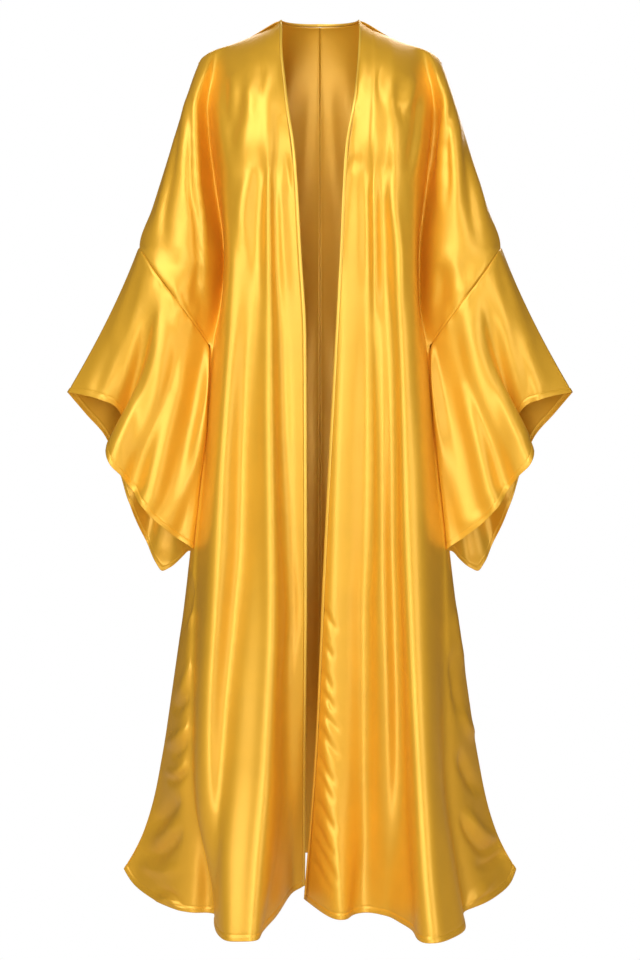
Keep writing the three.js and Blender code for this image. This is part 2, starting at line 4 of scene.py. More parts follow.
import bpy
import numpy as np
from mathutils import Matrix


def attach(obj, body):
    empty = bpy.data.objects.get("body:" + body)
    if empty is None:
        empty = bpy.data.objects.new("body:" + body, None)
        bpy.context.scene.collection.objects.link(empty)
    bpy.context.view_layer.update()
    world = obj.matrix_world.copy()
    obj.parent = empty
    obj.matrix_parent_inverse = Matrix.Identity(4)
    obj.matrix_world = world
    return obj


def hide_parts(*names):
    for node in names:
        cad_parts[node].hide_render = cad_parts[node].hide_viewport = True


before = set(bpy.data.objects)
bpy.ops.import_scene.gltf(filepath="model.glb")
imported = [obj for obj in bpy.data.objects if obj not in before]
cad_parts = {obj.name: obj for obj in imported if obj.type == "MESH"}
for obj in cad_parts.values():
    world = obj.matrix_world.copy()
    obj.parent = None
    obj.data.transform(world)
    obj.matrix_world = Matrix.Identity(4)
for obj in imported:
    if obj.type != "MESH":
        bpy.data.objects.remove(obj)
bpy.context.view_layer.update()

# Tables and sizes are in millimetres, drop is measured down from the neck points, x outward from
# the middle on either side, depth forward on the fronts and backward on the backs.
MM = 0.001
TINY = 1e-9
SEAM_GAP = 0.3
SLEEVE_GAP = 0.4
CLOTH = 0.7
BAND_WIDTH = 5.0
NECK_HALF_WIDTH = 60
NECK_BACK_DEPTH = 60
NECK_BACK_RISE = 3
YOKE_DROP = 143
SLEEVE_SEAM_TOP = 355
ARMPIT_FRONT = 512
UNDERARM = 535
UNDERARM_FLARE = 0.2
INNER_FLARE = -0.06
INNER_LIFT = 0.35
ARMPIT_BLEND = 30
RING_BLEND = 12
SLEEVE_END_FLARE = 1.2
HEM_FLARE_START = 1150
LENGTH = 1400
ARM_CREST = 62
ARM_CREST_PLACE = 0.42
# Powers that round the cloth over the shoulder, and how the neck band's normal leans out and up
SHOULDER_ROUND = {"over": 1.7, "forward": 0.75}
NECK_LEAN = {"out": 0.4, "up_at_centre": 0.25, "up_at_side": 0.8}

SHOULDER = {
    "x": [60, 65, 72, 84, 113, 147, 167, 178, 186, 191],
    "drop": [0, 4, 10, 16, 28, 41, 47, 53, 59, 66],
}
BORDER = {
    "drop": [66, 94, 143, 218, 294, 355, 361, 370, 384, 412, 440, 470,
             495, 512, 535, 600, 700, 824, 921, 1052, 1183, 1268, 1331, 1366, 1400],
    "x": [191, 202, 218, 242, 267, 288, 283, 276, 266, 245, 223, 201,
          184, 175, 181, 182, 194, 207, 219, 238, 258, 273, 290, 304, 321],
    "depth": [0, 0, 0, 0, 0, 0, 25, 38, 50, 59, 61, 50, 36, 27, 0, 0, 0, 0, 0, 0, 0, 0, 0, 0, 0],
}
SLEEVE_LINE = {"drop": [143, 355, 445, 585], "x": [218, 288, 327, 404]}
EDGE = {
    "drop": [0, 17, 52, 100, 150, 215, 375, 500, 850, 1150, 1400],
    "left": [60, 59, 58, 53, 47, 38, 28, 21, 20, 22, 24],
    "right": [61, 61, 59, 55, 48, 38, 30, 23, 5, -8, -26],
    "left_depth": [0, 30, 64, 92, 107, 113, 107, 100, 86, 66, 28],
    "right_depth": [0, 30, 64, 92, 107, 113, 108, 102, 95, 84, 58],
}
EDGE_HEM = {"left": 1383, "right": 1396}
ARM_FOLD = {
    "drop": [143, 191, 253, 377, 440, 512, 565, 700, 850, 1150, 1400],
    "left": [176, 173, 166, 151, 156, 168, 173, 181, 194, 198, 163],
    "right": [178, 176, 169, 157, 157, 167, 173, 181, 194, 194, 223],
    "depth": [38, 33, 28, 25, 25, 28, 32, 44, 60, 100, 126],
}
LEVELS = [143, 500, 850, 1150, 1400]
# Folds from the edge or centre outward: cells up to it, x and depth at the levels, drop at the hem
FOLDS = {
    "front_left": [
        (3, [66, 58, 46, 49, 46], [112, 104, 94, 84, 36], 1392),
        (3, [80, 76, 72, 76, 92], [117, 120, 142, 186, 252], 1400),
        (3, [92, 98, 112, 136, 135], [115, 112, 128, 172, 250], 1402),
        (3, [110, 138, 160, 172, 158], [112, 114, 134, 165, 214], 1402),
        (2, [145, 155, 178, 190, 174], [86, 86, 106, 140, 168], 1400),
    ],
    "front_right": [
        (2, [58, 36, 22, 12, 30], [109, 106, 106, 116, 160], 1401),
        (2, [76, 71, 62, 65, 72], [112, 103, 100, 104, 119], 1400),
        (2, [84, 84, 89, 99, 92], [116, 111, 115, 122, 121], 1400),
        (1, [97, 99, 107, 117, 108], [114, 106, 110, 120, 132], 1400),
        (4, [112, 124, 134, 147, 163], [114, 118, 142, 190, 262], 1402),
        (3, [145, 152, 170, 184, 224], [88, 90, 110, 150, 195], 1400),
    ],
    "back_left": [
        (0, [0, 0, 0, 0, 0], [98, 90, 114, 154, 208], 1398),
        (3, [38, 42, 52, 62, 72], [102, 98, 128, 176, 238], 1400),
        (3, [80, 84, 96, 106, 116], [99, 91, 108, 144, 192], 1400),
        (2, [112, 124, 142, 160, 176], [95, 98, 124, 170, 234], 1400),
        (2, [146, 152, 174, 190, 212], [72, 74, 92, 126, 166], 1398),
    ],
    "back_right": [
        (0, [0, 0, 0, 0, 0], [98, 90, 114, 154, 208], 1398),
        (3, [36, 38, 46, 50, 56], [102, 96, 124, 168, 226], 1400),
        (3, [78, 80, 88, 94, 98], [99, 92, 112, 150, 200], 1400),
        (2, [112, 120, 136, 150, 160], [96, 100, 130, 180, 246], 1400),
        (2, [146, 152, 172, 190, 208], [74, 76, 94, 130, 172], 1398),
    ],
}
# Side strip lines: place across, cells, share of the fold's depth below the arm and at the hem, hem drop
SIDE_STRIP = {
    "left": [(0, 3, 1, 1, 1402), (0.42, 3, 0.9, 0.87, 1398), (0.85, 2, 0.5, 0.2, 1388), (1, 2, 0, 0, 1363)],
    "right": [(0, 3, 1, 1, 1398), (0.42, 3, 0.9, 0.74, 1391), (0.85, 2, 0.5, 0.2, 1385), (1, 2, 0, 0, 1363)],
}
SLEEVE_OPENING = {
    "turn": [0, 0.12, 0.22, 0.3, 0.37, 0.44, 0.5, 0.57, 0.63, 0.7, 0.77, 0.84, 0.92, 1.0,
             1.1, 1.2, 1.27, 1.35, 1.45, 1.55, 1.65, 1.74, 1.82, 1.91, 2.0],
    "x": [404, 366, 345, 327, 314, 336, 329, 310, 296, 276, 255, 228, 200, 213,
          226, 248, 259, 270, 284, 299, 313, 330, 348, 378, 404],
    "drop": [586, 592, 598, 606, 636, 674, 695, 716, 738, 767, 790, 813, 834, 842,
             856, 876, 881, 868, 838, 803, 764, 712, 661, 622, 586],
    "y": [0, -24, -32, -26, -6, -60, -80, -74, -60, -74, -68, -57, -50, 2,
          36, 52, 55, 58, 68, 56, 46, 58, 44, 26, 0],
}
# How the cloth is divided: drops that get a row of points, shares of the way down a sleeve, the
# step between rows, rows in the hem, pieces of a cell, the last columns as cells short of the
# border, pieces between the drops at the sleeve seam and along a band, and points round the neck
ROWS = [0, 4.3, 12.9, 25.7, 45.8, 71.5, 107.3, 143, 185, 228, 270, 313,
        355, 361, 370, 384, 402, 420, 438, 456, 472, 487, 500, 512, 535,
        595, 665, 740, 820, 900, 985, 1070, 1150, 1225, 1295, 1355, 1386, 1400]
SLEEVE_ROWS = np.concatenate([np.linspace(0, 0.95, 105), np.linspace(0.955, 1, 14)])
ROW_STEP = 4.8
HEM_ROWS = 12
CELL_PIECES = 5
LAST_CELL = [0.12, 0.06, 0.02, 0]
SEAM_PIECES = 6
BAND_PIECES = 5
NECK_STATIONS = 61
# Cells of a back that end at the neck line, and how often a panel's points are eased across
NECK_CELLS = 6
EASE_PASSES = 16

# How much the cloth widens and softens the creases drawn below, how far they reach in half
# widths, and the shares of their length over which they rise and die away
CREASE_SPREAD = 1.2
CREASE_SOFTNESS = 0.75
CREASE_REACH = 2.6
CREASE_RISE = (-0.02, 0.35)
CREASE_FALL = (0.6, 1.02)
# Spacing and least number of the points that distances to a crease are taken from
CREASE_STEP = 4
CREASE_POINTS = 12
# Creases of each piece, as x outward and drop along the crease, half width and height
CREASES = {
    "front_left": [
        ([70, 67, 53], [55, 95, 140], 10, 2),
        ([88, 91, 97], [75, 105, 135], 7, -3),
        ([106, 111, 88], [95, 150, 170], 10, 4),
        ([121, 122, 134, 140], [95, 140, 185, 235], 10, -7),
        ([134, 132, 137], [85, 125, 145], 8, 3.5),
        ([146, 147, 140], [85, 140, 190], 6, -4.5),
        ([156, 154, 143, 134], [110, 155, 215, 275], 8, 3.5),
        ([101, 110, 118, 122], [215, 260, 295, 380], 9, 6),
        ([88, 90, 96, 98], [215, 260, 335, 440], 8, -6),
        ([76, 78, 78, 78], [215, 275, 380, 485], 6, 4.5),
        ([67, 69, 66, 60], [220, 290, 395, 500], 5, -4.5),
        ([59, 61, 58, 55, 49], [215, 260, 320, 380, 455], 7, 4.5),
        ([52, 49, 43], [215, 255, 290], 4, -3),
        ([64, 55, 47], [155, 160, 160], 3, -2),
        ([193, 194, 191, 183, 181, 182], [85, 190, 255, 325, 395, 450], 5, 7),
        ([199, 200, 202, 191, 188, 198, 208], [115, 190, 255, 325, 380, 440, 485], 5, -7),
        ([206, 215, 225], [105, 190, 260], 8, 4.5),
        ([213, 223, 235, 244, 245], [120, 190, 255, 315, 380], 6, -6.5),
        ([221, 237, 257, 267], [130, 220, 315, 355], 8, 5.5),
        ([231, 250, 268], [170, 255, 325], 6, -4.5),
        ([191, 189, 178], [380, 425, 470], 8, -4),
        ([215, 209], [421, 459], 4, -3.5),
        ([216, 218, 225], [315, 375, 440], 12, 2.5),
        ([201, 207, 220], [870, 915, 980], 5.5, -8),
        ([198, 209, 220], [925, 950, 970], 4, 5),
        ([198, 216, 234], [995, 1045, 1080], 5, 5),
        ([203, 221, 237], [1060, 1080, 1100], 5, -6.5),
        ([200, 225, 250], [1100, 1130, 1160], 5, 8),
        ([205, 222, 238], [1130, 1150, 1170], 4, -6.5),
        ([206, 228, 254], [1160, 1185, 1200], 4, 6.5),
        ([207, 225, 246], [1175, 1195, 1210], 4, -8),
        ([217, 258, 279], [1215, 1275, 1300], 6.5, -10.5),
        ([222, 245, 271], [1255, 1290, 1320], 5.5, 8),
        ([214, 239, 266, 295], [1265, 1305, 1330, 1335], 5.5, -10.5),
        ([218, 258, 303], [1325, 1350, 1355], 6.5, 8),
        ([267, 239, 210], [1400, 1385, 1405], 4, 8),
        ([271, 242, 213], [1385, 1375, 1390], 4, -8),
    ],
    "front_right": [
        ([70, 67, 61], [55, 95, 130], 8, 3.5),
        ([90, 90, 97], [75, 115, 160], 6, -4.5),
        ([146, 140, 119], [85, 125, 165], 8, 5),
        ([124, 122, 134], [95, 140, 180], 9, -6),
        ([167, 158, 152, 146], [100, 155, 185, 260], 7, 5),
        ([153, 149, 140, 134], [110, 155, 215, 260], 6, -6),
        ([40, 50, 62], [255, 235, 215], 6, -3.5),
        ([49, 53, 61], [155, 155, 150], 3, -2),
        ([70, 70, 72, 72], [220, 260, 335, 440], 7, -6),
        ([79, 81, 83, 84], [220, 290, 380, 485], 5, 4.5),
        ([93, 96, 98, 101], [225, 290, 380, 485], 6, -6),
        ([102, 110, 122, 120], [220, 290, 380, 500], 8, 6),
        ([195, 195, 189, 186, 188], [90, 130, 205, 270, 325], 5, 7),
        ([185, 178, 172], [130, 205, 260], 5, -7),
        ([203, 197, 199, 197], [130, 190, 255, 305], 4, -4.5),
        ([209, 211, 213, 207], [145, 205, 270, 330], 8, 5.5),
        ([223, 229, 235, 243, 253], [145, 190, 270, 335, 375], 7, -7),
        ([231, 244, 257, 268], [135, 205, 275, 340], 8, 5.5),
        ([188, 190, 182], [375, 425, 470], 8, -5.5),
        ([207, 214, 207], [360, 415, 450], 9, 5.5),
        ([5, 16, 27], [915, 940, 960], 3.5, -4),
        ([5, 13, 20], [975, 985, 1000], 3.5, -4),
        ([2, 11, 20], [1015, 1030, 1055], 3.5, -4),
        ([0, 11, 25], [1045, 1060, 1085], 3.5, -5),
        ([-2, 14, 33], [1075, 1095, 1120], 4, -5),
        ([-4, 13, 33], [1100, 1130, 1160], 4, -5),
        ([-6, 9, 28], [1145, 1175, 1205], 4, -5),
        ([-6, 8, 25], [1175, 1200, 1230], 3.5, -4),
        ([-8, 9, 28], [1220, 1245, 1275], 4, -5),
        ([-9, 6, 25], [1255, 1285, 1310], 4, -5),
        ([-11, 8, 29], [1285, 1315, 1350], 4, -5),
        ([-14, 2, 21], [1315, 1340, 1365], 4, -4),
        ([211, 220, 234], [915, 980, 1045], 5, 6.5),
        ([206, 216, 231], [980, 1060, 1125], 6.5, -8),
        ([221, 237, 254], [1080, 1120, 1150], 5.5, 8),
        ([217, 238, 261], [1145, 1200, 1240], 6.5, -10.5),
        ([228, 258, 298], [1240, 1290, 1325], 6.5, 10.5),
        ([219, 242, 271, 306], [1240, 1290, 1320, 1315], 5.5, -10.5),
        ([242, 274, 315], [1325, 1340, 1335], 5.5, -8),
        ([229, 252, 284], [1395, 1375, 1365], 5, 8),
    ],
    "back_left": [
        ([14, 24, 30], [70, 190, 330], 8, -1.5),
        ([46, 52, 58], [60, 150, 290], 9, 1.5),
        ([84, 92, 104], [70, 170, 300], 8, -2),
        ([112, 120, 131], [80, 150, 260], 9, 2),
        ([146, 150, 146], [100, 190, 330], 9, -6.5),
        ([172, 168, 160, 158], [90, 200, 330, 440], 7, 5.5),
        ([198, 196, 184, 178], [110, 210, 330, 450], 6, -5.5),
        ([210, 222, 238], [120, 220, 330], 8, 4),
        ([226, 244, 262], [160, 250, 340], 6, -4),
        ([20, 26, 24], [420, 600, 800], 10, -4),
        ([60, 70, 82], [520, 700, 930], 8, 4),
        ([128, 138, 152], [560, 760, 1000], 9, -5),
        ([194, 212, 232], [900, 960, 1010], 7, -4),
        ([200, 222, 246], [1040, 1090, 1130], 7, 4),
        ([206, 230, 256], [1120, 1170, 1200], 6, -4),
        ([214, 246, 282], [1200, 1260, 1300], 8, 5.5),
        ([212, 244, 290], [1260, 1310, 1330], 7, -5.5),
        ([226, 262, 304], [1330, 1352, 1350], 7, 4),
        ([20, 34, 60], [1180, 1260, 1330], 8, 4),
    ],
    "back_right": [
        ([16, 22, 34], [60, 170, 310], 8, -1.5),
        ([42, 50, 52], [75, 180, 320], 9, 1.5),
        ([76, 86, 100], [65, 150, 270], 7, -2),
        ([106, 116, 124], [90, 170, 290], 9, 2),
        ([140, 146, 148], [95, 180, 310], 9, -6.5),
        ([168, 166, 156, 152], [95, 190, 320, 450], 7, 5.5),
        ([194, 194, 186, 180], [105, 200, 320, 440], 6, -5.5),
        ([214, 226, 246], [130, 230, 345], 8, 4),
        ([230, 248, 266], [170, 260, 345], 6, -4),
        ([22, 30, 30], [440, 620, 840], 10, -4),
        ([54, 60, 76], [560, 760, 960], 8, 4),
        ([122, 132, 146], [540, 720, 980], 9, -5),
        ([196, 214, 236], [880, 950, 1000], 7, -4),
        ([202, 226, 250], [1020, 1080, 1110], 7, 4),
        ([204, 234, 262], [1110, 1160, 1180], 6, -4),
        ([216, 250, 288], [1220, 1275, 1310], 8, 5.5),
        ([210, 240, 286], [1270, 1320, 1335], 7, -5.5),
        ([230, 266, 306], [1340, 1356, 1350], 7, 4),
        ([24, 40, 72], [1200, 1270, 1320], 8, 4),
    ],
    "sleeve_left_front": [
        ([285, 294, 309, 321, 326], [370, 435, 515, 575, 600], 12, -4.5),
        ([280, 298, 318, 334], [395, 500, 580, 655], 13, 4.5),
        ([269, 278, 286, 290, 294], [415, 515, 605, 690, 730], 14, -6),
        ([253, 251, 253, 265, 275], [400, 515, 610, 715, 760], 14, 4.5),
        ([238, 229, 228], [440, 510, 580], 7, -1.5),
        ([220, 220, 240, 256], [485, 565, 660, 750], 12, 3.5),
        ([188, 192, 205, 224, 248], [510, 555, 630, 705, 775], 13, -5),
        ([182, 192, 218, 240], [595, 660, 740, 785], 12, 4.5),
        ([189, 201, 212, 225], [675, 740, 780, 820], 9, -3.5),
        ([191, 206, 215], [740, 800, 830], 7, 1.5),
        ([326, 341, 352], [495, 535, 575], 12, -2.5),
        ([339, 358, 371], [495, 535, 570], 12, 2.5),
    ],
    "sleeve_right_front": [
        ([289, 302, 328, 354], [395, 455, 510, 570], 12, 3.5),
        ([281, 293, 311, 329, 332], [370, 440, 510, 575, 600], 9, -4.5),
        ([275, 285, 298, 308, 323], [395, 440, 500, 565, 645], 13, 4.5),
        ([260, 270, 275, 280, 286], [425, 500, 565, 645, 725], 14, -5),
        ([241, 235, 239, 252, 264, 275], [425, 500, 595, 660, 730, 760], 14, 4.5),
        ([199, 205, 221, 237, 248], [510, 595, 660, 725, 765], 13, -5),
        ([190, 198, 208, 219, 228], [525, 595, 660, 725, 785], 10, 3.5),
        ([184, 196, 205, 218], [630, 705, 770, 820], 9, -3.5),
        ([331, 347, 362], [495, 535, 575], 12, -2.5),
        ([219, 217, 223], [440, 500, 565], 9, -1.5),
    ],
    "sleeve_left_back": [
        ([284, 300, 326], [380, 480, 590], 12, -4.5),
        ([272, 290, 314, 328], [400, 500, 600, 690], 13, 4.5),
        ([256, 268, 284, 298], [420, 530, 660, 760], 14, -5),
        ([240, 244, 262, 280], [430, 540, 680, 790], 13, 4.5),
        ([216, 222, 240, 262], [470, 580, 720, 840], 12, -4.5),
        ([198, 208, 228, 248], [500, 620, 750, 860], 12, 3.5),
        ([186, 204, 226], [560, 700, 830], 9, -2.5),
    ],
    "sleeve_right_back": [
        ([280, 294, 322], [385, 470, 585], 12, -4.5),
        ([268, 288, 308, 322], [405, 510, 610, 700], 13, 4.5),
        ([250, 262, 280, 294], [430, 540, 670, 770], 14, -5),
        ([232, 240, 256, 276], [440, 560, 700, 800], 13, 4.5),
        ([210, 220, 236, 256], [480, 600, 730, 850], 12, -4.5),
        ([194, 206, 222, 242], [510, 640, 760, 865], 12, 3.5),
        ([184, 200, 220], [580, 720, 840], 9, -2.5),
    ],
}
LONG_FOLD_DROPS = [349, 441, 563, 686, 809, 932, 1054, 1176, 1294, 1400]
# Long folds that run out at the hem, in the same columns
LONG_FOLDS = {
    "front_left": [
        ([109, 108, 114, 119, 122, 133, 145, 155, 170, 179], LONG_FOLD_DROPS, 14, -16),
        ([125, 128, 145, 155, 161, 166, 175, 181, 189, 193], LONG_FOLD_DROPS, 15, 5),
        ([81, 82, 82, 80, 77, 74, 80, 88, 98, 104], LONG_FOLD_DROPS, 10, 5),
        ([74, 64, 59, 56, 52, 44, 52, 52, 59, 80], LONG_FOLD_DROPS, 8, -9),
    ],
    "front_right": [
        ([78, 83, 78, 77, 75, 69, 69, 69, 70, 62], LONG_FOLD_DROPS, 13, -16),
        ([91, 92, 94, 96, 97, 101, 105, 106, 106, 99], LONG_FOLD_DROPS, 8, 3),
        ([107, 109, 113, 113, 113, 118, 122, 125, 129, 134], LONG_FOLD_DROPS, 8, -10),
        ([133, 136, 144, 151, 152, 154, 157, 160, 162, 172], LONG_FOLD_DROPS, 16, 10),
    ],
    "back_left": [
        ([22, 24, 26, 30, 34], [560, 700, 850, 1120, 1400], 10, -7),
        ([66, 68, 76, 86, 96], [320, 580, 840, 1110, 1400], 12, -10),
        ([104, 110, 122, 138, 150], [380, 620, 860, 1130, 1400], 14, 6),
        ([134, 142, 156, 172, 190], [420, 640, 880, 1150, 1400], 10, -9),
    ],
    "back_right": [
        ([18, 22, 26, 28, 32], [580, 720, 860, 1130, 1400], 9, -6),
        ([58, 60, 68, 76, 82], [330, 590, 850, 1120, 1400], 13, -11),
        ([96, 104, 118, 134, 146], [370, 610, 850, 1120, 1400], 13, 6),
        ([130, 138, 154, 172, 186], [400, 630, 870, 1140, 1400], 11, -9),
    ],
}
# Deep valley between the body and the hanging arm: how far it is pushed back, and its softness
ARM_VALLEY = {"drop": [90, 180, 260, 330, 400, 460, 512], "push": [0, 16, 28, 33, 32, 20, 0]}
VALLEY_BODY_SIDE = 7
VALLEY_ARM_SIDE = 12
# Soft mound where the fronts round over the chest, and the hollow under it: x and drop of the
# centre, half width, half height and height
CHEST_FORMS = [(84, 196, 62, 40, 6), (90, 246, 46, 22, -4)]
# Puckers along the sleeve seam: place from the top to the armpit, length and height in mm
SEAM_PUCKERS = {
    "place": [0.05, 0.12, 0.17, 0.23, 0.31, 0.36, 0.42, 0.5, 0.55, 0.61, 0.69, 0.75, 0.82, 0.9],
    "length": [12, 20, 9, 15, 24, 10, 17, 26, 12, 19, 14, 27, 12, 18],
    "height": [-1.1, 0.8, -0.9, 1.2, -1.4, 0.9, -1.2, 1.3, -1.5, 1.0, -1.2, 1.4, -1.1, 0.9],
}
PUCKER_WIDTH = 4
PUCKER_SLANT = 0.15
# Dips along the sleeve and side seams and along the centre-back seam
SEAM_DIP = 1.6
CENTRE_DIP = 0.7
SEAM_DIP_WIDTH = 2.2
# How near a seam the creases fade: in mm down the arm, down the body, at the centre back and
# below the sleeve seam, and in columns of points beside the top and bottom lines of a sleeve
ARM_FADE = 26
BODY_FADE = 6
CENTRE_FADE = 6
SLEEVE_SEAM_FADE = 6
SLEEVE_LINE_FADE = 5
# Distance from the centre-back seam within which the creases turn to rise straight backward
CENTRE_TURN = 12
# Turned hems: how wide the double cloth is, how soft its step, how much it stands proud, and the
# groove above it
HEM = {"width": 9, "step": 1, "proud": 0.7, "groove": 0.7, "groove_width": 1.6}
# Section of a folded band, as distance in from the edge and height along the normal
BAND_SECTION = [(0, -0.2), (0.5, 0.3), (2.2, 0.5), (4.4, 0.4), (5, 0.1), (5, -0.8), (2.2, -1.1), (0.5, -0.9)]
# Steps in cells and drop over which the normal of a front edge is taken
EDGE_PROBE = {"cell": 0.1, "drop": 0.5}

# Satin: what both materials share, then the noise of each bump as scale, detail and stretch with
# the bump's height in metres and strength, and the faint change of shade
SATIN_GLOSS = {
    "Metallic": 0.36,
    "Specular IOR Level": 0.8,
    "Specular Tint": (1, 0.8, 0.5, 1),
    "Coat Weight": 0.4,
    "Coat Roughness": 0.36,
}
SLACK = {"noise": (7, 2, (1, 1, 0.35)), "bump": (0.004, 0.2)}
WEAVE = {"noise": (900, 2, (1, 1, 0.25)), "bump": (0.0002, 0.25)}
SHADE = {"noise": (14, 3), "darker": 0.93, "from": 0.3, "to": 0.7}

# Studio, in metres and watts
BODY_MIDDLE = (0, 0, -0.7)
SHOULDERS = (0, 0, -0.2)
# Name, place, size, power, and the point that the light faces
LIGHTS = [
    ("key", (-1.45, -2.9, 0.9), (2.0, 2.4), 69, BODY_MIDDLE),
    ("top", (0.2, -2.0, 2.2), (1.8, 1.2), 22, SHOULDERS),
    ("low_front", (0, -3.4, -0.7), (1.0, 2.0), 29, BODY_MIDDLE),
    ("right_fill", (2.3, -2.3, -0.2), (1.2, 2.4), 24, BODY_MIDDLE),
    ("back_fill", (0.3, 3.2, 1.0), (2.2, 2.4), 76, BODY_MIDDLE),
]
ROOM_COLOR = (1, 0.74, 0.32, 1)
ROOM_LIGHT = 0.15
WHITE = (1, 1, 1, 1)
FLOOR = {"color": (0.62, 0.54, 0.4, 1), "roughness": 0.9, "reach": 14, "level": -1.75}
CAMERA = {"lens": 70, "sensor": 36, "place": (0, -2.987, -0.4836)}
# The photo's focal length, and how far its middle lies below the camera's eye level, in pixels
FOCAL_PX = 1866.7
EYE_LEVEL_PX = 152


def smooth_curve(places, values):
    """Monotone cubic through the rows: it never swings past them."""
    p = np.asarray(places, float)
    v = np.asarray(values, float)
    span = np.diff(p)
    slope = np.diff(v) / span
    tangent = np.zeros(len(p))
    tangent[0], tangent[-1] = slope[0], slope[-1]
    w1 = 2 * span[1:] + span[:-1]
    w2 = span[1:] + 2 * span[:-1]
    for i in range(1, len(p) - 1):
        if slope[i - 1] * slope[i] > 0:
            a, b = w1[i - 1], w2[i - 1]
            tangent[i] = (a + b) / (a / slope[i - 1] + b / slope[i])

    def at(place):
        q = np.clip(place, p[0], p[-1])
        i = np.clip(np.searchsorted(p, q, side="right") - 1, 0, len(p) - 2)
        u = (q - p[i]) / span[i]
        r = 1 - u
        return (v[i] * (1 + 2 * u) * r * r + tangent[i] * span[i] * u * r * r
                + v[i + 1] * u * u * (3 - 2 * u) - tangent[i + 1] * span[i] * u * u * r)

    return at


def mix(a, b, share):
    return a + (b - a) * share


def smooth_step(start, end, value):
    u = np.clip((value - start) / (end - start), 0, 1)
    return u * u * (3 - 2 * u)


shoulder_drop = smooth_curve(SHOULDER["x"], SHOULDER["drop"])
border_x = smooth_curve(BORDER["drop"], BORDER["x"])
border_depth = smooth_curve(BORDER["drop"], BORDER["depth"])
sleeve_line_x = smooth_curve(SLEEVE_LINE["drop"], SLEEVE_LINE["x"])
arm_fold_depth = smooth_curve(ARM_FOLD["drop"], ARM_FOLD["depth"])


def shoulder_round(share):
    """How far the cloth has come forward on its way over the shoulder, 0 at the seam to 1."""
    return (1 - (1 - share) ** SHOULDER_ROUND["over"]) ** SHOULDER_ROUND["forward"]


def hem_drop(drop, hem):
    """Drop of a point on a line that ends at its own hem, worked out from its even drop."""
    if drop <= HEM_FLARE_START:
        return drop
    return mix(HEM_FLARE_START, hem, (drop - HEM_FLARE_START) / (LENGTH - HEM_FLARE_START))


def arm_depth(x, drop, fold_x):
    """Depth of the upper sleeve between the arm fold and its outer line."""
    fold = arm_fold_depth(drop)
    share = min(max((x - fold_x) / (sleeve_line_x(drop) - fold_x), 0), 1)
    if share < ARM_CREST_PLACE:
        return mix(fold, ARM_CREST, math.sin(math.pi / 2 * share / ARM_CREST_PLACE) ** 2)
    out = (share - ARM_CREST_PLACE) / (1 - ARM_CREST_PLACE)
    return ARM_CREST * math.sqrt(1 - out * out)


